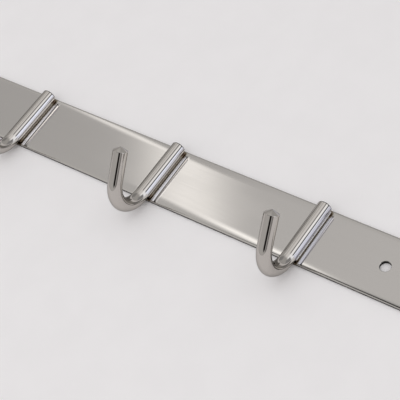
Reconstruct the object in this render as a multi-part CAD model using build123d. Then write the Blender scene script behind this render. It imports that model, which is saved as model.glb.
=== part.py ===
from build123d import *
import os
from math import hypot, sqrt

# Coat hook rack: a polished steel strip with bent rod hooks welded across its front. All sizes in millimetres.
# X runs along the strip and Z is up. The strip's back lies on the wall at Y = 0, and the hooks reach towards -Y.
# The origin is the middle of the strip's back face.

# Strip
strip_height = 30.0
strip_thickness = 1.5
strip_corner_radius = 2.5
front_edge_radius = 1.0
back_edge_break = 0.2
screw_hole_diameter = 5.0
screw_hole_edge_break = 0.2
hook_to_screw = 37.0
screw_to_end = 20.0

# Hooks
hook_names = ("left", "middle", "right")
hook_pitch = 78.0
rod_diameter = 6.5
rod_top_inset = 1.1
rod_top_edge_break = 0.6
seat_depth = 0.1
bend_start_drop = 0.4
bend_radius = 12.4
bend_angle = 130.0
tip_length = 14.3
tip_cone_height = 1.9
tip_nose_radius = 0.8

# Welds: a thin bead on each side of the rod, in the corner between rod and strip, run from both ends of the rod
bead_radius = 0.7
bead_rise = 0.35
bead_end_slope = 0.7
upper_bead_inset = 0.3
lower_bead_inset = 0.1
bead_gap = 0.1

# Places that follow from these sizes
rod_radius = rod_diameter / 2
strip_front = -strip_thickness
strip_top = strip_height / 2
strip_bottom = -strip_height / 2
hook_span = hook_pitch * (len(hook_names) - 1)
screw_x = hook_span / 2 + hook_to_screw
strip_length = 2 * (screw_x + screw_to_end)
rolled_edge = min(front_edge_radius, 0.6 * strip_thickness)
rod_axis_height = rod_radius - seat_depth
rod_top = strip_top - rod_top_inset
bend_start = strip_bottom - bend_start_drop
upper_bead_top = rod_top - upper_bead_inset
lower_bead_foot = strip_bottom + rolled_edge + lower_bead_inset
beads_meet = (upper_bead_top + lower_bead_foot) / 2

# Sketch plane of a hook's side view: local x points out of the wall, local y points up
side_view = Plane(origin=(0, strip_front, 0), x_dir=(0, -1, 0), z_dir=(-1, 0, 0))


def make_strip():
    outline = RectangleRounded(strip_length, strip_height, strip_corner_radius)
    strip = extrude(Plane.XZ * outline, strip_thickness)
    front_rim = strip.faces().sort_by(Axis.Y)[0].edges()
    strip = fillet(front_rim, rolled_edge)
    back_rim = strip.faces().sort_by(Axis.Y)[-1].edges()
    strip = chamfer(back_rim, back_edge_break)
    for x in (-screw_x, screw_x):
        strip -= extrude(Plane.XZ * Pos(x, 0) * Circle(screw_hole_diameter / 2), strip_thickness)
    hole_rims = strip.faces().sort_by(Axis.Y)[0].inner_wires().edges()
    return chamfer(hole_rims, screw_hole_edge_break)


def make_cone_end(rim_centre, direction):
    # Side profile of the cone, with a round nose tangent to its flank, turned about the rod's axis
    slant = hypot(rod_radius, tip_cone_height)
    nose_centre = tip_cone_height - tip_nose_radius * slant / rod_radius
    flank_end = (nose_centre + tip_nose_radius * rod_radius / slant, tip_nose_radius * tip_cone_height / slant)
    nose_top = (nose_centre + tip_nose_radius, 0)
    flank = Line((0, rod_radius), flank_end)
    nose = TangentArc(flank_end, nose_top, tangent=flank % 1)
    axis_and_base = Polyline(nose_top, (0, 0), (0, rod_radius))
    turning_plane = Plane(origin=rim_centre, x_dir=direction, z_dir=(1, 0, 0))
    return revolve(turning_plane * make_face(flank + nose + axis_and_base), Axis(rim_centre, direction))


def make_hook():
    straight = Line((rod_axis_height, rod_top), (rod_axis_height, bend_start))
    bend = JernArc(straight @ 1, straight % 1, bend_radius, bend_angle)
    tip = Line(bend @ 1, bend @ 1 + tip_length * (bend % 1))
    path = side_view * (straight + bend + tip)
    rod = sweep(Plane(path @ 0, z_dir=path % 0) * Circle(rod_radius), path)
    top_face = rod.faces().sort_by_distance(path @ 0)[0]
    rod = chamfer(top_face.edges(), rod_top_edge_break)
    rod += make_cone_end(path @ 1, path % 1)
    # The flat on which the rod lies against the strip
    return split(rod, bisect_by=Plane(side_view.origin, z_dir=side_view.x_dir), keep=Keep.TOP)


def make_weld(foot, top):
    # A bead's round section is as far from the strip's face as from the rod's side, and fills what both leave free
    reach = sqrt((rod_radius + bead_rise) ** 2 - (rod_axis_height - bead_rise) ** 2)
    rod_section = Pos(0, strip_front - rod_axis_height) * Circle(rod_radius)
    strip_section = Pos(0, strip_front / 2) * Rectangle(strip_length, strip_thickness)
    lower_end = Plane((0, strip_front, foot), z_dir=(0, bead_end_slope, 1))
    upper_end = Plane((0, strip_front, top), z_dir=(0, bead_end_slope, -1))
    beads = []
    for x in (-reach, reach):
        section = Pos(x, strip_front - bead_rise) * Circle(bead_radius) - rod_section - strip_section
        bead = extrude(Pos(0, 0, foot) * section, top - foot)
        for end in (lower_end, upper_end):
            bead = split(bead, bisect_by=end, keep=Keep.TOP)
        beads.append(bead)
    return Compound(children=beads)


strip = make_strip()
hook = make_hook()
upper_weld = make_weld(beads_meet + bead_gap / 2, upper_bead_top)
lower_weld = make_weld(lower_bead_foot, beads_meet - bead_gap / 2)

os.makedirs("parts", exist_ok=True)
export_step(strip, "parts/back_plate.step")
for index, name in enumerate(hook_names):
    place = Pos(index * hook_pitch - hook_span / 2, 0, 0)
    export_step(place * hook, f"parts/{name}_hook.step")
    export_step(place * upper_weld, f"parts/{name}_upper_weld.step")
    export_step(place * lower_weld, f"parts/{name}_lower_weld.step")
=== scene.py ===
from math import acos, asin, atan2, cos, hypot, pi, radians, sin, sqrt, tan
import bmesh
import bpy
from mathutils import Matrix, Vector


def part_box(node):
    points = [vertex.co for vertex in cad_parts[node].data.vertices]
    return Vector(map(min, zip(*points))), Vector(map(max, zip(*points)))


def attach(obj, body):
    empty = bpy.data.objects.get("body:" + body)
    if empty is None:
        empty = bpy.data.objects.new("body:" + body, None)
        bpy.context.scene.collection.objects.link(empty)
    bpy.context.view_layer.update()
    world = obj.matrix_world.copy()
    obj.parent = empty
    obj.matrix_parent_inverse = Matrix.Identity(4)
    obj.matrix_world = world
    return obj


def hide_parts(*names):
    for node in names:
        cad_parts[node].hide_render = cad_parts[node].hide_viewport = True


# Coat hook rack: a polished steel strip with three bent rod hooks welded across it.
# The rack's frame: X along the strip, Z up, the wall face at Y = 0 and the room toward -Y.
# Sizes are in metres.
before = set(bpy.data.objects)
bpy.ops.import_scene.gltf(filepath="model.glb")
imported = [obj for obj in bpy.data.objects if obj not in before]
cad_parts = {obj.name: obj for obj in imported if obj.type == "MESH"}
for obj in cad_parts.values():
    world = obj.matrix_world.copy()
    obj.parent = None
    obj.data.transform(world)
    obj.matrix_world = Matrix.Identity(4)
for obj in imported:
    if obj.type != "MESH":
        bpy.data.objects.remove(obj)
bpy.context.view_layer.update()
scene = bpy.context.scene
scene.view_settings.view_transform = "Standard"
mm = 0.001

hookNames = ("left", "middle", "right")
stripLow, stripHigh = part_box("back_plate")
hookLow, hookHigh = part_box("middle_hook")
hookMiddles = {name: sum(corner.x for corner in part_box(name + "_hook")) / 2 for name in hookNames}
hookPitch = hookMiddles["right"] - hookMiddles["middle"]
print("frame loaded, hooks at", {name: round(x / mm, 2) for name, x in hookMiddles.items()})


class Wire:
    # A shader socket that takes part in Python sums; each sum adds its Math node
    def __init__(self, tree, socket=None):
        self.tree = tree
        self.socket = socket

    def add(self, kind, settings=None, inputs=None, output=0):
        node = self.tree.nodes.new(kind)
        for name, value in (settings or {}).items():
            if name == "stops":
                setStops(node.color_ramp, value)
            else:
                setattr(node, name, value)
        for name, value in (inputs or {}).items():
            if isinstance(value, Wire):
                self.tree.links.new(value.socket, node.inputs[name])
            else:
                node.inputs[name].default_value = value
        return Wire(self.tree, node.outputs[output] if node.outputs else None)

    def also(self, output):
        return Wire(self.tree, self.socket.node.outputs[output])

    def math(self, operation, *values):
        return self.add("ShaderNodeMath", {"operation": operation}, dict(enumerate(values)))

    def __add__(self, other):
        return self.math("ADD", self, other)

    def __radd__(self, other):
        return self.math("ADD", other, self)

    def __sub__(self, other):
        return self.math("SUBTRACT", self, other)

    def __rsub__(self, other):
        return self.math("SUBTRACT", other, self)

    def __mul__(self, other):
        return self.math("MULTIPLY", self, other)

    def __rmul__(self, other):
        return self.math("MULTIPLY", other, self)

    def __truediv__(self, other):
        return self.math("DIVIDE", self, other)

    def __neg__(self):
        return self.math("MULTIPLY", self, -1.0)

    def __abs__(self):
        return self.math("ABSOLUTE", self)


def setStops(ramp, stops):
    while len(ramp.elements) < len(stops):
        ramp.elements.new(1.0)
    for element, (place, colour) in zip(ramp.elements, stops):
        element.position = place
        element.color = (*colour, 1.0)


def span(value, low, high, toLow=0.0, toHigh=1.0):
    # Smooth step from low to high, also where low is the larger one
    ends = {"Value": value, "From Min": low, "From Max": high, "To Min": toLow, "To Max": toHigh}
    return value.add("ShaderNodeMapRange", {"interpolation_type": "SMOOTHSTEP"}, ends)


def mixColour(share, first, second):
    sockets = {0: share, 6: first, 7: second}
    return share.add("ShaderNodeMix", {"data_type": "RGBA"}, sockets, output=2)


def solid(colour):
    return (*colour, 1.0)


def grey(level):
    return (level, level, level)


def stretched(vector, scales):
    return vector.add("ShaderNodeVectorMath", {"operation": "MULTIPLY"}, {0: vector, 1: scales})


def grainOf(vector, scale=1.0, detail=3.0, roughness=0.5):
    settings = {"Vector": vector, "Scale": scale, "Detail": detail, "Roughness": roughness}
    return vector.add("ShaderNodeTexNoise", {"noise_dimensions": "3D"}, settings)


def newMaterial(name):
    material = bpy.data.materials.new(name)
    material.use_nodes = True
    material.node_tree.nodes.clear()
    return material, Wire(material.node_tree)


def shadesAlong(where, levels, peak):
    # Colour by where, in the levels' own measure; a ramp ends at 1, so it holds shares of the peak
    first, wide = levels[0][0], levels[-1][0] - levels[0][0]
    stops = [((place - first) / wide, [level / peak for level in colour]) for place, colour in levels]
    ramp = where.add("ShaderNodeValToRGB", {"stops": stops}, {0: (where - first) / wide})
    return where.add("ShaderNodeVectorMath", {"operation": "SCALE"}, {0: ramp, "Scale": peak})


def putMetal(wire, finish, colour, rough, relief, more=None):
    bump = {"Strength": finish["bump"], "Distance": finish["bumpDepth"], "Height": relief}
    shade = {"Base Color": colour, "Metallic": 1.0, "Roughness": rough, **(more or {})}
    shade["Normal"] = wire.add("ShaderNodeBump", None, bump)
    wire.add("ShaderNodeOutputMaterial", None, {0: wire.add("ShaderNodeBsdfPrincipled", None, shade)})


# The camera stands low on the right, turned so that the strip runs down across the picture
cameraSetup = {
    "aim": (22.8 * mm, 0.5 * mm, -4.0 * mm),
    "distance": 632.1 * mm,
    "azimuth": 33.83,      # degrees from straight in front, toward +X
    "elevation": -22.99,
    "roll": 37.6,
    "lens": 130.68,        # millimetres, as the sensor's width
    "sensor": 36.0,
    "clip": (0.01, 50.0),
}


def placeCamera(setup):
    turn, lift = radians(setup["azimuth"]), radians(setup["elevation"])
    back = Vector((sin(turn) * cos(lift), -cos(turn) * cos(lift), sin(lift)))
    level = (-back).to_track_quat("-Z", "Y").to_matrix()
    rolled = level @ Matrix.Rotation(radians(setup["roll"]), 3, "Z")
    data = bpy.data.cameras.new("photoCamera")
    data.lens = setup["lens"]
    data.sensor_width = setup["sensor"]
    data.clip_start, data.clip_end = setup["clip"]
    camera = bpy.data.objects.new("photoCamera", data)
    place = Vector(setup["aim"]) + back * setup["distance"]
    camera.matrix_world = Matrix.Translation(place) @ rolled.to_4x4()
    scene.collection.objects.link(camera)
    scene.camera = camera


placeCamera(cameraSetup)
print("camera placed")


# Heat colours beside the welds: soot where a bead was struck, then brown, straw and clean steel. The painted
# reflection streaks along the welds are listed here too
heat = {
    "hotEnds": (12.3 * mm, -13.4 * mm),    # heights where the upper and the lower beads were struck
    "along": (2.7 * mm, 3.4 * mm),         # how far the colours run up and down from there
    "across": (1.8 * mm, 1.3 * mm),
    "aside": 2.3 * mm,                     # from the hook's middle to the bead
    "cloudScale": 650.0,
    "wander": 0.5,                         # how ragged their edge is
    "fade": (1.0, 0.7),                    # share of the reach where clean steel gives way to colour
    "stops": (
        (0.0, (0.016, 0.012, 0.011)),
        (0.20, (0.040, 0.026, 0.018)),
        (0.36, (0.130, 0.085, 0.055)),
        (0.58, (0.205, 0.166, 0.118)),
        (0.80, (0.305, 0.275, 0.222)),
        (1.0, (0.400, 0.376, 0.340)),
    ),
    "paintedStreakLength": {"strip": (-14.6 * mm, 12.6 * mm), "rod": (-14.6 * mm, 14.6 * mm)},
    "paintedStreakFade": 0.6 * mm,                # half the length over which the lines fade at their ends
    "paintedStreakPeak": 1.8,
    # painted reflections beside each hook, as shares of the steel's colour by millimetres from its middle:
    # dark lines and bright bluish streaks
    "paintedStreaksOnStrip": {
        "left": (
            (0.0, (0.50, 0.47, 0.42)),
            (2.90, (0.50, 0.47, 0.42)),
            (3.10, (0.50, 0.50, 0.48)),
            (3.40, (1.22, 1.25, 1.31)),
            (4.55, (1.18, 1.21, 1.27)),
            (4.86, grey(0.17)),
            (5.32, grey(0.17)),
            (5.66, grey(1.05)),
            (5.95, grey(1.44)),
            (6.35, grey(1.44)),
            (6.75, grey(1.0)),
            (8.0, grey(1.0)),
        ),
        "middle": (
            (0.0, (0.52, 0.49, 0.44)),
            (2.90, (0.52, 0.49, 0.44)),
            (3.10, (0.44, 0.43, 0.41)),
            (3.40, (0.93, 0.96, 1.02)),
            (4.56, (0.93, 0.96, 1.02)),
            (4.80, grey(0.17)),
            (5.14, grey(0.17)),
            (5.46, grey(1.20)),
            (5.75, grey(1.46)),
            (6.20, grey(1.36)),
            (6.60, grey(1.0)),
            (8.0, grey(1.0)),
        ),
        "right": (
            (0.0, (0.50, 0.47, 0.42)),
            (2.90, (0.50, 0.47, 0.42)),
            (3.10, grey(0.42)),
            (3.40, (0.70, 0.73, 0.79)),
            (4.28, (0.73, 0.76, 0.82)),
            (4.52, (0.46, 0.46, 0.47)),
            (4.74, (0.46, 0.46, 0.47)),
            (4.96, grey(1.10)),
            (5.30, grey(1.10)),
            (5.60, grey(1.0)),
            (8.0, grey(1.0)),
        ),
    },
    "paintedStreaksOnRod": (          # the same painted reflections on each rod, by degrees round it from its front, with a painted highlight on its side
        (0, grey(1.0)),
        (22.5, grey(1.0)),
        (25, grey(0.17)),
        (28, grey(0.17)),
        (30.5, grey(1.0)),
        (43.5, grey(1.0)),
        (46.6, grey(0.12)),
        (52, grey(0.12)),
        (55, (0.95, 0.98, 1.07)),
        (66, (1.19, 1.24, 1.39)),
        (80, (1.19, 1.24, 1.39)),
        (82.8, grey(0.17)),
        (87.6, grey(0.17)),
        (90.5, grey(1.68)),
        (104, (1.68, 1.70, 1.74)),
        (130, (1.30, 1.33, 1.40)),
        (180, (1.30, 1.33, 1.40)),
    ),
}


def heatBeside(place):
    # Share of heat colour and the colour itself, from the distance to the nearest hot end
    axes = place.add("ShaderNodeSeparateXYZ", None, {0: place})
    up = axes.also("Z")
    beside = axes.math("PINGPONG", axes, hookPitch / 2)
    aside = axes.math("MAXIMUM", beside - heat["aside"], 0.0)
    away = None
    for hotEnd, along, across in zip(heat["hotEnds"], heat["along"], heat["across"]):
        reach, width = (up - hotEnd) / along, aside / across
        far = axes.math("SQRT", reach * reach + width * width)
        away = far if away is None else axes.math("MINIMUM", away, far)
    cloud = grainOf(place, heat["cloudScale"])
    ragged = axes.math("MAXIMUM", away + (cloud - 0.5) * heat["wander"], 0.0)
    colour = place.add("ShaderNodeValToRGB", {"stops": heat["stops"]}, {0: ragged})
    return span(ragged, *heat["fade"]), colour


def paintedStreaks(where, stops, up, ends):
    # Painted reflections, bright bluish bands and dark lines, only along the welds
    band = shadesAlong(where, stops, heat["paintedStreakPeak"])
    (low, high), fade = ends, heat["paintedStreakFade"]
    along = span(up, low - fade, low + fade) * span(up, high + fade, high - fade)
    return mixColour(along, solid(grey(1.0)), band)


# Share of what belongs to one outer hook, which changes over halfway to the middle one
def rightHookShare(along):
    halfway, soft = hookPitch / 2, hookPitch / 20
    return span(along, halfway - soft, halfway + soft)


def leftHookShare(along):
    return rightHookShare(-along)


# Strip finish: mirror polished front with faint wheel lines and smears, painted reflection streaks beside the
# hooks, dull cut edges and a bore darkened as painted shade, and a rolled back.
# A share holds the two noise levels between which one shade gives way to the next.
stripFinish = {
    "steel": (0.601, 0.576, 0.549),
    "worn": (0.585, 0.560, 0.534),
    "wornShare": (0.35, 0.75),
    "roughness": 0.085,
    "lineRoughness": 0.012,
    "lineShare": (0.4, 0.8),
    "lineScale": (35.0, 2500.0, 5200.0),
    "smearRoughness": 0.02,
    "smearShare": (0.45, 0.7),
    "smearScale": (28.0, 200.0, 90.0),
    "heatRoughness": 0.16,
    "bump": 0.012,
    "bumpDepth": 0.01 * mm,
    "cutDepth": (0.56 * mm, 0.74 * mm),    # the polish ends between these depths below the front
    # cut edges: dull, and darkened well below bare steel as painted shade along the strip's edges
    "shadedCut": ((0.055, 0.052, 0.050), (0.16, 0.152, 0.144)),
    "cutShare": (0.4, 0.75),
    "cutScale": (420.0, 900.0, 420.0),
    "cutRoughness": 0.42,
    "paintedStreakLean": 0.02,        # the painted streaks come nearer to the rod toward its top
    # inside of the hole painted near black as shade
    "shadedBore": (0.022, 0.021, 0.020),
    "boreEdge": (0.06 * mm, 0.02 * mm),    # the polish ends between these distances from the bore
    "back": ((0.455, 0.437, 0.415), (0.535, 0.514, 0.490)),    # rolled sheet, left unpolished
    "backEdge": (0.02 * mm, 0.004 * mm),
    "backShare": (0.32, 0.68),
    "backScale": (5.0, 100.0, 1500.0),
    "backRoughness": 0.17,
    "backLineRoughness": 0.10,
}


def polishedStrip(finish):
    material, wire = newMaterial("polishedStrip")
    place = wire.add("ShaderNodeTexCoord", output="Object")
    axes = wire.add("ShaderNodeSeparateXYZ", None, {0: place})
    depth, up = axes.also("Y") - stripLow.y, axes.also("Z")
    lines = grainOf(stretched(place, finish["lineScale"]))
    smears = grainOf(stretched(place, finish["smearScale"]))
    heatShare, heatColour = heatBeside(place)

    fromHole = abs(axes) - (stripHigh.x - stripShape["holeFromEnd"])
    holeAway = wire.math("SQRT", fromHole * fromHole + up * up) - stripShape["holeRadius"]
    drilled = span(holeAway, *finish["boreEdge"])
    # The cut edges and the bore take dark colours, painted shade along the edges and inside the hole
    shadedCut = wire.math("MAXIMUM", span(depth, *finish["cutDepth"]), drilled)
    back = span(depth, *[stripHigh.y - stripLow.y - edge for edge in finish["backEdge"]])
    streaks = grainOf(stretched(place, finish["cutScale"]))
    shadedCutColour = mixColour(span(streaks, *finish["cutShare"]), *[solid(shade) for shade in finish["shadedCut"]])
    shadedCutColour = mixColour(drilled, shadedCutColour, solid(finish["shadedBore"]))
    rolling = grainOf(stretched(place, finish["backScale"]), detail=4.0)
    backColour = mixColour(span(rolling, *finish["backShare"]), *[solid(shade) for shade in finish["back"]])

    steel = mixColour(span(lines, *finish["wornShare"]), solid(finish["steel"]), solid(finish["worn"]))
    # Painted reflection streaks beside each hook: dark lines and bright bands that scale the steel's colour
    fromHook = wire.math("PINGPONG", axes, hookPitch / 2) / mm + up / mm * finish["paintedStreakLean"]
    ends = heat["paintedStreakLength"]["strip"]
    paintedStreaksByHook = {name: paintedStreaks(fromHook, stops, up, ends) for name, stops in heat["paintedStreaksOnStrip"].items()}
    share = mixColour(leftHookShare(axes), paintedStreaksByHook["middle"], paintedStreaksByHook["left"])
    steel = stretched(steel, mixColour(rightHookShare(axes), share, paintedStreaksByHook["right"]))
    colour = mixColour(shadedCut, mixColour(heatShare, steel, heatColour), shadedCutColour)
    colour = mixColour(back, colour, backColour)
    rough = finish["roughness"] + span(lines, *finish["lineShare"]) * finish["lineRoughness"]
    rough = rough + span(smears, *finish["smearShare"]) * finish["smearRoughness"]
    rough = rough + heatShare * finish["heatRoughness"]
    rough = rough + shadedCut * (finish["cutRoughness"] - rough)
    rough = rough + back * (finish["backRoughness"] + rolling * finish["backLineRoughness"] - rough)
    putMetal(wire, finish, colour, rough, lines)
    return material


# Strip: flat front that rolls off gently toward its edges, as a polishing wheel leaves it
stripShape = {
    "cornerRadius": 2.5 * mm,
    "innerCorner": 0.4 * mm,   # the least corner radius of the loops inside
    "edgeRadius": 0.9 * mm,
    "crownWidth": 3.5 * mm,
    "crownTilt": {1: radians(6.6), -1: radians(5.8)},      # along the upper and the lower edge
    "backBreak": 0.2 * mm,
    "holeRadius": 2.5 * mm,
    "holeFromEnd": 20.0 * mm,
    "holeBreak": 0.2 * mm,
    "cornerSteps": 12,
    "edgeSteps": 16,
    "crownSteps": 10,
    "holeSteps": 72,
    "breakSteps": 4,
    "keepFlat": 0.05 * mm,     # narrow loops that keep the flats flat up to their edges
    "sharp": radians(30),      # edges that turn by more than this stay sharp
}


def bridge(mesh, rings):
    for ringA, ringB in zip(rings, rings[1:]):
        for i in range(len(ringA)):
            mesh.faces.new((ringA[i - 1], ringA[i], ringB[i], ringB[i - 1]))


def ringEdges(mesh, ring):
    return [mesh.edges.get((ring[i - 1], ring[i])) for i in range(len(ring))]


def finishPiece(name, mesh, material, node, sharpAngle):
    bmesh.ops.recalc_face_normals(mesh, faces=mesh.faces)
    for face in mesh.faces:
        face.smooth = True
    for edge in mesh.edges:
        edge.smooth = edge.calc_face_angle(0) < sharpAngle
    data = bpy.data.meshes.new(name)
    mesh.to_mesh(data)
    mesh.free()
    data.materials.append(material)
    piece = bpy.data.objects.new(name, data)
    scene.collection.objects.link(piece)
    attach(piece, "root")
    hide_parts(node)


def stripRing(mesh, upper, lower):
    # One loop round the strip, from (inset, depth) along the upper edge and along the lower edge
    shape = stripShape
    ring = []
    for corner, (sideX, sideZ) in enumerate(((1, 1), (-1, 1), (-1, -1), (1, -1))):
        inset, depth = upper if sideZ > 0 else lower
        radius = max(shape["cornerRadius"] - inset, shape["innerCorner"])
        along, up = stripHigh.x - inset - radius, stripHigh.z - inset - radius
        middle = Vector((sideX * along, depth, sideZ * up))
        for step in range(shape["cornerSteps"] + 1):
            angle = (corner + step / shape["cornerSteps"]) * pi / 2
            ring.append(mesh.verts.new(middle + radius * Vector((cos(angle), 0, sin(angle)))))
    return ring


def roundRing(mesh, middleX, radius, depth, steps):
    turns = [2 * pi * step / steps for step in range(steps)]
    return [mesh.verts.new((middleX + radius * cos(turn), depth, radius * sin(turn))) for turn in turns]


def stripProfile(crownTilt):
    # (inset from the outline, depth) from the back face round the edge to the flat of the front
    shape = stripShape
    drop = shape["crownWidth"] * tan(crownTilt) / 2
    crownStart = shape["edgeRadius"] * (1 - sin(crownTilt))
    edgeMiddle = stripLow.y + drop + shape["edgeRadius"] * cos(crownTilt)
    profile = [(shape["backBreak"] + shape["keepFlat"], stripHigh.y), (shape["backBreak"], stripHigh.y)]
    profile += [(0, stripHigh.y - shape["backBreak"])]
    for step in range(shape["edgeSteps"] + 1):
        tilt = pi / 2 + (crownTilt - pi / 2) * step / shape["edgeSteps"]
        profile.append((shape["edgeRadius"] * (1 - sin(tilt)), edgeMiddle - shape["edgeRadius"] * cos(tilt)))
    for step in range(1, shape["crownSteps"] + 1):
        left = 1 - step / shape["crownSteps"]
        profile.append((crownStart + shape["crownWidth"] * (1 - left), stripLow.y + drop * left * left))
    profile.append((profile[-1][0] + shape["keepFlat"], stripLow.y))
    return profile


def makeStrip(material):
    shape = stripShape
    mesh = bmesh.new()
    profiles = [stripProfile(shape["crownTilt"][side]) for side in (1, -1)]
    rings = [stripRing(mesh, upper, lower) for upper, lower in zip(*profiles)]
    bridge(mesh, rings)
    backEdges, frontEdges = ringEdges(mesh, rings[0]), ringEdges(mesh, rings[-1])
    for side in (-1, 1):
        middleX = side * (stripHigh.x - shape["holeFromEnd"])
        rim = shape["holeRadius"] + shape["holeBreak"]
        levels = [(shape["holeRadius"] + shape["keepFlat"], stripHigh.y), (shape["holeRadius"], stripHigh.y)]
        for step in range(shape["breakSteps"] + 1):
            angle = step / shape["breakSteps"] * pi / 2
            sunk = shape["holeBreak"] * (1 - sin(angle))
            levels.append((rim - shape["holeBreak"] * cos(angle), stripLow.y + sunk))
        levels.append((rim + shape["keepFlat"], stripLow.y))
        holeRings = [roundRing(mesh, middleX, *level, shape["holeSteps"]) for level in levels]
        bridge(mesh, holeRings)
        backEdges += ringEdges(mesh, holeRings[0])
        frontEdges += ringEdges(mesh, holeRings[-1])
    for edges in (backEdges, frontEdges):
        bmesh.ops.triangle_fill(mesh, edges=edges, use_beauty=True)
    finishPiece("hookStrip", mesh, material, "back_plate", shape["sharp"])


makeStrip(polishedStrip(stripFinish))
print("strip made")


# Rod finish: polished bar, fine lines along the rod and slight waves left by the bending, painted reflection
# streaks and highlights along the welds, and a painted bluish reflection tint on the right hook's sides
rodFinish = {
    "steel": (0.554, 0.524, 0.492),
    "worn": (0.506, 0.478, 0.451),
    "roughness": 0.05,
    "lineRoughness": 0.03,
    "lineShare": (0.4, 0.8),
    "lineScale": (4200.0, 60.0, 1.0),
    "lineRelief": 0.4,
    "waveScale": (420.0, 55.0, 1.0),
    "edgeTint": grey(0.56),
    "paintedBlueTint": (0.95, 0.98, 1.09),           # painted reflection: bluish share of the steel's colour on the right hook's sides, for the cool light they face
    "paintedBlueFrom": (58, 82),                 # degrees round the rod from its front
    "paintedBlueTo": (112, 102),
    "paintedBlueFoot": (-15.6 * mm, -14.6 * mm),
    "darkTop": (0.085, 0.082, 0.078),         # the cut top end and its rounded edge, coloured near black
    "darkTopRoughness": 0.38,
    "darkTopFrom": (0.62 * mm, 0.30 * mm),
    "heatFrom": (1.3 * mm, 0.6 * mm),      # heat colours the rod only this far up from the strip
    "heatRoughness": 0.2,
    "bump": 0.03,
    "bumpDepth": 0.02 * mm,
}


def polishedRod(finish):
    material, wire = newMaterial("polishedRod")
    place = wire.add("ShaderNodeTexCoord", output="Object")
    along = wire.add("ShaderNodeUVMap", {"uv_map": "alongRod"})
    lines = grainOf(stretched(along, finish["lineScale"]))
    waves = grainOf(stretched(along, finish["waveScale"]), detail=2.0)
    lined = span(lines, *finish["lineShare"])
    axes = wire.add("ShaderNodeSeparateXYZ", None, {0: place})
    up, height = axes.also("Z"), stripLow.y - axes.also("Y")
    heatShare, heatColour = heatBeside(place)
    heatShare = heatShare * span(height, *finish["heatFrom"])

    around = wire.add("ShaderNodeSeparateXYZ", None, {0: along})
    halfRound = pi * rodShape["radius"]
    degrees = wire.math("PINGPONG", around, halfRound) * (180 / halfRound)
    steel = mixColour(lined, solid(finish["steel"]), solid(finish["worn"]))
    # Painted reflection streaks round the rod along the welds, and a painted highlight on its sides
    steel = stretched(steel, paintedStreaks(degrees, heat["paintedStreaksOnRod"], up, heat["paintedStreakLength"]["rod"]))
    # Painted bluish reflection tint on the right hook's sides
    paintedBlueTint = rightHookShare(axes) * span(up, *finish["paintedBlueFoot"])
    paintedBlueTint = paintedBlueTint * span(degrees, *finish["paintedBlueFrom"]) * span(degrees, *finish["paintedBlueTo"])
    steel = mixColour(paintedBlueTint, steel, stretched(steel, finish["paintedBlueTint"]))
    # The top end and its rounded edge are coloured near black
    darkTop = span(hookHigh.z - up, *finish["darkTopFrom"])
    colour = mixColour(darkTop, mixColour(heatShare, steel, heatColour), solid(finish["darkTop"]))
    rough = finish["roughness"] + lined * finish["lineRoughness"] + heatShare * finish["heatRoughness"]
    rough = rough + darkTop * (finish["darkTopRoughness"] - rough)
    tint = {"Specular Tint": solid(finish["edgeTint"])}
    putMetal(wire, finish, colour, rough, lines * finish["lineRelief"] + waves, tint)
    return material


# Hooks: a rod that lies flat on the strip, bends out below it and ends in a blunt cone
rodShape = {
    "radius": (hookHigh.x - hookLow.x) / 2,
    "seatDepth": 0.1 * mm,
    "bendRadius": 12.4 * mm,
    "bendAngle": radians(130),
    "tipLength": 14.3 * mm,
    "coneHeight": 1.9 * mm,
    "noseRadius": 0.8 * mm,
    "rimRound": 0.26 * mm,
    "topRound": 0.7 * mm,
    "sides": 128,
    "bendSteps": 96,
    "roundSteps": 8,
    "keepStraight": 0.05 * mm,
    "sharp": radians(12),
}


def rodLine(along):
    # Point on the rod's middle line as (out of the wall, up), and how far the rod has turned there
    shape = rodShape
    bendStart = hookLow.z + shape["bendRadius"] + shape["radius"]
    out = shape["radius"] - shape["seatDepth"] - stripLow.y
    straight = hookHigh.z - bendStart
    turn = min(max((along - straight) / shape["bendRadius"], 0), shape["bendAngle"])
    beyond = max(along - straight - shape["bendRadius"] * shape["bendAngle"], 0)
    up = max(hookHigh.z - along, bendStart) - shape["bendRadius"] * sin(turn)
    point = Vector((out + shape["bendRadius"] * (1 - cos(turn)), up))
    return point + beyond * Vector((sin(turn), -cos(turn))), turn


def rodStations():
    # (distance along the middle line, radius) from the flat top end to the nose of the cone
    shape = rodShape
    radius, keep = shape["radius"], shape["keepStraight"]
    straight = hookHigh.z - hookLow.z - shape["bendRadius"] - radius
    bend = shape["bendRadius"] * shape["bendAngle"]
    rim = straight + bend + shape["tipLength"]
    slope = atan2(radius, shape["coneHeight"])
    nose = rim + shape["coneHeight"] - shape["noseRadius"] * hypot(radius, shape["coneHeight"]) / radius
    rimMiddle = rim - shape["rimRound"] * tan(slope / 2)
    steps = [step / shape["roundSteps"] for step in range(shape["roundSteps"] + 1)]
    stations = [(0, radius - shape["topRound"] - keep)]
    for angle in [part * pi / 2 for part in steps]:
        stations.append((shape["topRound"] * (1 - cos(angle)), radius - shape["topRound"] * (1 - sin(angle))))
    stations += [(shape["topRound"] + keep, radius), (straight - keep, radius)]
    for step in range(shape["bendSteps"] + 1):
        stations.append((straight + bend * step / shape["bendSteps"], radius))
    stations += [(straight + bend + keep, radius), (rimMiddle - keep, radius)]
    for angle in [part * slope for part in steps]:
        inset = shape["rimRound"] * (1 - cos(angle))
        stations.append((rimMiddle + shape["rimRound"] * sin(angle), radius - inset))
    for angle in [slope + part * (pi / 2 - slope) for part in steps[:-1]]:
        stations.append((nose + shape["noseRadius"] * sin(angle), shape["noseRadius"] * cos(angle)))
    return stations


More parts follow.
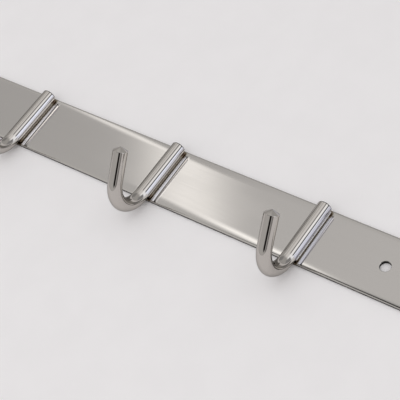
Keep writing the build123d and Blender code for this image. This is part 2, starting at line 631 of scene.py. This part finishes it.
def makeHook(name, material):
    shape = rodShape
    mesh = bmesh.new()
    alongRod = mesh.loops.layers.uv.new("alongRod")
    rings, places = [], {}
    for along, radius in rodStations():
        (out, up), turn = rodLine(along)
        ring = []
        for side in range(shape["sides"]):
            angle = 2 * pi * side / shape["sides"]
            inward = radius * cos(angle)
            x = hookMiddles[name] + radius * sin(angle)
            y = min(-(out + inward * cos(turn)), stripLow.y)     # the flat where the rod lies on the strip
            vertex = mesh.verts.new((x, y, up + inward * sin(turn)))
            ring.append(vertex)
            places[vertex] = (angle, along)
        rings.append(ring)
    bridge(mesh, rings)
    mesh.faces.new(rings[0])
    mesh.faces.new(rings[-1])
    for face in mesh.faces:
        wraps = max(places[loop.vert][0] for loop in face.loops) > 1.5 * pi      # closes the ring
        for loop in face.loops:
            angle, along = places[loop.vert]
            if wraps and angle == 0:
                angle = 2 * pi
            loop[alongRod].uv = (angle * shape["radius"], along)
    finishPiece(name + "HookRod", mesh, material, name + "_hook", shape["sharp"])


rodSteel = polishedRod(rodFinish)
for hookName in hookNames:
    makeHook(hookName, rodSteel)
print("hooks made")


# Weld finish: dull brown metal with a darker toe, painted shade in the crease against rod and strip, paler
# crests, and heat colours at the struck ends
weldFinish = {
    "brown": (0.235, 0.199, 0.156),
    "pale": (0.380, 0.338, 0.280),
    "paleShare": (0.45, 0.8),
    "shadedToe": (0.165, 0.139, 0.112),
    "crest": (0.40, 0.68),     # share of the bead's height where the painted shade of the toe gives way to the clean crest
    "dull": (0.26, 0.50),      # least and most roughness
    "brushed": (0.66, 0.65, 0.66),     # the right hook's beads are bright where they meet the rod
    "brushedRise": (0.74 * mm, 0.90 * mm),
    "brushedRoughness": 0.16,
    "scale": 1400.0,
    "spatterScale": 4200.0,
    "spatterShare": (0.3, 0.7),
    "bump": 0.3,
    "bumpDepth": 0.04 * mm,
}


def weldMetal(finish):
    material, wire = newMaterial("weldMetal")
    place = wire.add("ShaderNodeTexCoord", output="Object")
    heatShare, heatColour = heatBeside(place)
    cloud = grainOf(place, finish["scale"], detail=4.0, roughness=0.6)
    metal = mixColour(span(cloud, *finish["paleShare"]), solid(finish["brown"]), solid(finish["pale"]))
    axes = wire.add("ShaderNodeSeparateXYZ", None, {0: place})
    out = wire.math("PINGPONG", axes, hookPitch / 2) - beadReach()
    proud = out + (stripLow.y - beadShape["rise"]) - axes.also("Y")
    # Painted shade: the bead darkens toward its toes, in the creases against rod and strip
    crest = span(proud / (sqrt(2) * beadShape["radius"]), *finish["crest"])
    metal = mixColour(crest, solid(finish["shadedToe"]), metal)
    brushed = rightHookShare(axes) * span(stripLow.y - axes.also("Y"), *finish["brushedRise"])
    colour = mixColour(brushed, mixColour(heatShare, metal, heatColour), solid(finish["brushed"]))
    spatter = grainOf(place, finish["spatterScale"], detail=2.0)
    rough = span(spatter, *finish["spatterShare"], *finish["dull"])
    rough = rough + brushed * (finish["brushedRoughness"] - rough)
    putMetal(wire, finish, colour, rough, spatter)
    return material


# Welds: a thin rippled bead on each side of the rod, in the corner between rod and strip
beadShape = {
    "radius": 0.7 * mm,
    "endRadius": 0.45 * mm,
    "rise": 0.35 * mm,         # bead's middle above the strip, and off the rod's side
    "ripple": 0.07,            # share of the radius
    "rippleLength": 0.62 * mm,
    "rippleMean": 0.6,
    "taper": 0.9 * mm,
    "openSteps": 18,
    "hiddenSteps": 10,
    "lengthSteps": 132,
    "sharp": radians(40),
}


def beadReach():
    # From the hook's middle to the middle of a bead, which lies as far off the rod as off the strip
    rise = beadShape["rise"]
    lift = rodShape["radius"] - rodShape["seatDepth"] - rise
    return sqrt((rodShape["radius"] + rise) ** 2 - lift ** 2)


def beadSection(radius):
    # Section of one bead in (away from the rod, toward the wall) about its own middle
    shape = beadShape
    rod, rise = rodShape["radius"], shape["rise"]
    lift = rod - rodShape["seatDepth"] - rise
    apart = rod + rise
    toRod = atan2(-lift, -beadReach())
    onStrip = asin(min(rise / radius, 1))
    onRod = toRod + acos(min((radius * radius + apart * apart - rod * rod) / (2 * radius * apart), 1))
    points = []
    for step in range(shape["openSteps"] + 1):
        angle = onStrip + (onRod - onStrip) * step / shape["openSteps"]
        points.append((radius * cos(angle), radius * sin(angle)))
    for step in range(1, shape["hiddenSteps"]):
        angle = onRod + (onStrip - 2 * pi - onRod) * step / shape["hiddenSteps"]
        reach = radius
        if sin(angle) > 0:
            reach = min(reach, rise / sin(angle))
        facing = apart * cos(angle - toRod)
        inside = facing * facing - apart * apart + rod * rod
        if inside > 0 and facing > 0:
            reach = min(reach, facing - sqrt(inside))
        points.append((reach * cos(angle), reach * sin(angle)))
    return points


def makeWeld(name, level, material):
    shape = beadShape
    node = f"{name}_{level}_weld"
    low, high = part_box(node)
    mesh = bmesh.new()
    for side in (-1, 1):
        rings = []
        for step in range(shape["lengthSteps"] + 1):
            z = low.z + (high.z - low.z) * step / shape["lengthSteps"]
            outerEnd = high.z - z if level == "upper" else z - low.z
            fromEnd = min(outerEnd / shape["taper"], 1)
            full = sqrt(1 - (1 - fromEnd) ** 2)
            wave = abs(sin(pi * (z - low.z) / shape["rippleLength"])) - shape["rippleMean"]
            rippled = shape["radius"] * (1 + shape["ripple"] * wave)
            radius = shape["endRadius"] + (rippled - shape["endRadius"]) * full
            section = beadSection(radius)
            x, y = hookMiddles[name] + side * beadReach(), stripLow.y - shape["rise"]
            rings.append([mesh.verts.new((x + side * away, y + inward, z)) for away, inward in section])
        bridge(mesh, rings)
        mesh.faces.new(rings[0])
        mesh.faces.new(rings[-1])
    finishPiece(f"{name}{level.title()}Weld", mesh, material, node, shape["sharp"])


weldSteel = weldMetal(weldFinish)
for hookName in hookNames:
    for level in ("upper", "lower"):
        makeWeld(hookName, level, weldSteel)
print("welds made")


# Pale tabletop under the rack, seen from its upper side only and open where the strip's back covers it
table = {
    "radius": 1.4,
    "steps": 96,
    "depth": 0.03 * mm,            # below the strip's back
    "underStrip": 0.25 * mm,       # how far it reaches under the strip, and past the edge of a hole
    "behindHole": 0.06 * mm,
    "colour": (0.905, 0.886, 0.890),
    "fleck": (0.890, 0.871, 0.875),
    "fleckScale": 55.0,
    "fleckShare": (0.3, 0.7),
}


def tableFinish():
    material, wire = newMaterial("paleTable")
    place = wire.add("ShaderNodeTexCoord", output="Object")
    fleck = span(grainOf(place, table["fleckScale"], detail=4.0), *table["fleckShare"])
    colour = mixColour(fleck, solid(table["colour"]), solid(table["fleck"]))
    matt = wire.add("ShaderNodeBsdfDiffuse", None, {"Color": colour})
    clear = wire.add("ShaderNodeBsdfTransparent")
    fromBehind = wire.add("ShaderNodeNewGeometry", output="Backfacing")
    seen = wire.add("ShaderNodeMixShader", None, {0: fromBehind, 1: matt, 2: clear})
    wire.add("ShaderNodeOutputMaterial", None, {0: seen})
    return material


def makeTable():
    mesh = bmesh.new()
    depth = stripHigh.y + table["depth"]
    outer = roundRing(mesh, 0, table["radius"], depth, table["steps"])
    under = (stripShape["backBreak"] + table["underStrip"], depth)
    inner = stripRing(mesh, under, under)
    edges = []
    for ring in (outer, inner):
        edges += [mesh.edges.new((ring[i - 1], ring[i])) for i in range(len(ring))]
    bmesh.ops.triangle_fill(mesh, edges=edges, use_beauty=True)
    for side in (-1, 1):
        middleX = side * (stripHigh.x - stripShape["holeFromEnd"])
        radius = stripShape["holeRadius"] + table["behindHole"]
        mesh.faces.new(roundRing(mesh, middleX, radius, depth, stripShape["holeSteps"]))
    for face in mesh.faces:
        face.normal_update()
        if face.normal.y > 0:
            face.normal_flip()
    data = bpy.data.meshes.new("tabletop")
    mesh.to_mesh(data)
    mesh.free()
    data.materials.append(tableFinish())
    tabletop = bpy.data.objects.new("tabletop", data)
    scene.collection.objects.link(tabletop)


makeTable()


# Light tent: pale all round, brighter and cooler on the right, with cards and dark gaps in front of its wall.
# Directions are degrees from straight in front toward +X, and above the level of the rack.
tent = {
    "round": (        # level round the tent, by azimuth
        (-90, (0.46, 0.45, 0.445)),
        (-62, (0.515, 0.505, 0.495)),
        (-48, (0.585, 0.58, 0.57)),
        (-30, (0.655, 0.65, 0.64)),
        (-20, (0.71, 0.70, 0.695)),
        (-11, (0.85, 0.84, 0.835)),
        (-5, (1.03, 1.02, 1.015)),
        (8, (0.94, 0.93, 0.93)),
        (26, (0.975, 0.975, 0.985)),
        (34, (1.305, 1.315, 1.34)),
        (44, (1.495, 1.52, 1.565)),
        (56, (1.35, 1.385, 1.445)),
        (70, (1.35, 1.39, 1.48)),
        (84, (1.39, 1.445, 1.55)),
        (98, (1.39, 1.445, 1.55)),
        (112, (1.13, 1.175, 1.26)),
    ),
    "peak": 2.0,
    "low": (0.585, 0.577, 0.572),
    "lowEdge": (-14.0, 4.0),
    "high": (0.50, 0.495, 0.49),
    "highEdge": (33.0, 50.0),
    "behindEdge": (0.02, -0.06),      # how far a direction points to the front where the back begins
    "behind": (       # level behind the wall face, by degrees from straight behind
        (-90, (0.46, 0.455, 0.45)),
        (-56, (0.70, 0.69, 0.685)),
        (-38, (0.80, 0.79, 0.785)),
        (-22, (0.56, 0.55, 0.545)),
        (-9, (0.54, 0.53, 0.525)),
        (3, (0.78, 0.77, 0.765)),
        (12, (0.66, 0.65, 0.645)),
        (34, (0.60, 0.59, 0.585)),
        (52, (0.82, 0.81, 0.805)),
        (70, (0.55, 0.54, 0.535)),
        (90, (0.46, 0.455, 0.45)),
    ),
    "seen": (0.757, 0.745, 0.750),      # plain ground past the tabletop
    "fill": (0.752, 0.747, 0.747),      # even light of the whole tent on matt things
}
# Patches that lie in front of the tent's wall, each with its middle, half size and soft edge in degrees
greyCard = {"azimuth": -34, "elevation": 23, "halfWide": 12, "halfHigh": 11, "soft": 2,
            "left": (0.556, 0.551, 0.548), "right": (0.726, 0.720, 0.717)}
sideGap = {"azimuth": 94, "elevation": -30, "halfWide": 15, "halfHigh": 22, "soft": 4,
           "colour": (0.27, 0.26, 0.26)}
lowGap = {"azimuth": 55, "elevation": -58, "halfWide": 19, "halfHigh": 10, "soft": 4,
          "colour": (0.008, 0.007, 0.006)}
frontGap = {"azimuth": 11, "elevation": -14, "halfWide": 39, "halfHigh": 27, "soft": 4,
            "colour": grey(0.05)}
lowCard = {"azimuth": -37, "elevation": -29, "halfWide": 11, "halfHigh": 13, "soft": 3,
           "colour": (0.76, 0.75, 0.74)}
topGap = {"azimuth": -60, "elevation": 55, "halfWide": 32, "halfHigh": 14, "soft": 3,
          "colour": grey(0.32)}
overGap = {"azimuth": 80, "elevation": 41, "halfWide": 32, "halfHigh": 13, "soft": 3,
           "colour": (0.33, 0.33, 0.34)}
# Leaning bar of light on the grey card: its lean in degrees aside for each degree up, more above "upper"
lightBar = {"azimuth": -34.1, "elevation": 23.0, "lean": -0.84, "upper": 26.0, "upperLean": -0.27,
            "left": (-3.9, -0.7), "right": (2.7, 0.0), "top": (34.0, 30.5), "lowEdge": (21.5, 16.0),
            "colour": (1.44, 1.425, 1.41), "lowColour": (1.80, 1.785, 1.76)}
# Soft lamp straight in front, for the tabletop and the shadow under the bends
frontLamp = {"place": (0.03, -0.78, -0.22), "size": 0.6, "watts": 0.8}


def patchShare(azimuth, elevation, patch):
    soft = patch["soft"]
    aside, above = abs(azimuth - patch["azimuth"]), abs(elevation - patch["elevation"])
    wide = span(aside, patch["halfWide"] + soft, patch["halfWide"] - soft)
    return wide * span(above, patch["halfHigh"] + soft, patch["halfHigh"] - soft)


def makeTent():
    world = bpy.data.worlds.new("lightTent")
    scene.world = world
    world.use_nodes = True
    world.node_tree.nodes.clear()
    wire = Wire(world.node_tree)
    axes = wire.add("ShaderNodeSeparateXYZ", None, {0: wire.add("ShaderNodeTexCoord", output="Generated")})
    right, toward, up = axes, -axes.also("Y"), axes.also("Z")
    toDegrees = 180 / pi
    azimuth = axes.math("ARCTAN2", right, toward) * toDegrees
    elevation = axes.math("ARCSINE", up) * toDegrees

    light = shadesAlong(azimuth, tent["round"], tent["peak"])
    light = mixColour(span(elevation, *tent["lowEdge"]), solid(tent["low"]), light)
    light = mixColour(span(elevation, *tent["highEdge"]), light, solid(tent["high"]))

    cardEnds = (greyCard["azimuth"] - greyCard["halfWide"], greyCard["azimuth"] + greyCard["halfWide"])
    card = mixColour(span(azimuth, *cardEnds), solid(greyCard["left"]), solid(greyCard["right"]))
    bar = azimuth - lightBar["azimuth"] - (elevation - lightBar["elevation"]) * lightBar["lean"]
    bar = bar - axes.math("MAXIMUM", elevation - lightBar["upper"], 0.0) * lightBar["upperLean"]
    barShare = span(bar, *lightBar["left"]) * span(bar, *lightBar["right"])
    barShare = barShare * span(elevation, *lightBar["top"])
    barColours = [solid(lightBar[name]) for name in ("colour", "lowColour")]
    card = mixColour(barShare, card, mixColour(span(elevation, *lightBar["lowEdge"]), *barColours))
    light = mixColour(patchShare(azimuth, elevation, greyCard), light, card)
    for patch in (sideGap, lowGap, frontGap, lowCard, topGap, overGap):
        light = mixColour(patchShare(azimuth, elevation, patch), light, solid(patch["colour"]))

    fromBehind = axes.math("ARCTAN2", right, -toward) * toDegrees
    behind = shadesAlong(fromBehind, tent["behind"], tent["peak"])
    light = mixColour(span(toward, *tent["behindEdge"]), light, behind)
    paths = wire.add("ShaderNodeLightPath", output="Is Camera Ray")
    light = mixColour(paths.also("Is Diffuse Ray"), light, solid(tent["fill"]))
    light = mixColour(paths, light, solid(tent["seen"]))
    wire.add("ShaderNodeOutputWorld", None, {0: wire.add("ShaderNodeBackground", None, {"Color": light})})


def makeLamp(setup):
    data = bpy.data.lights.new("frontLamp", "AREA")
    data.shape = "DISK"
    data.size = setup["size"]
    data.energy = setup["watts"]
    lamp = bpy.data.objects.new("frontLamp", data)
    place = Vector(setup["place"])
    lamp.matrix_world = Matrix.Translation(place) @ (-place).to_track_quat("-Z", "Y").to_matrix().to_4x4()
    lamp.visible_glossy = False
    scene.collection.objects.link(lamp)


makeTent()
makeLamp(frontLamp)
print("stage and light made")
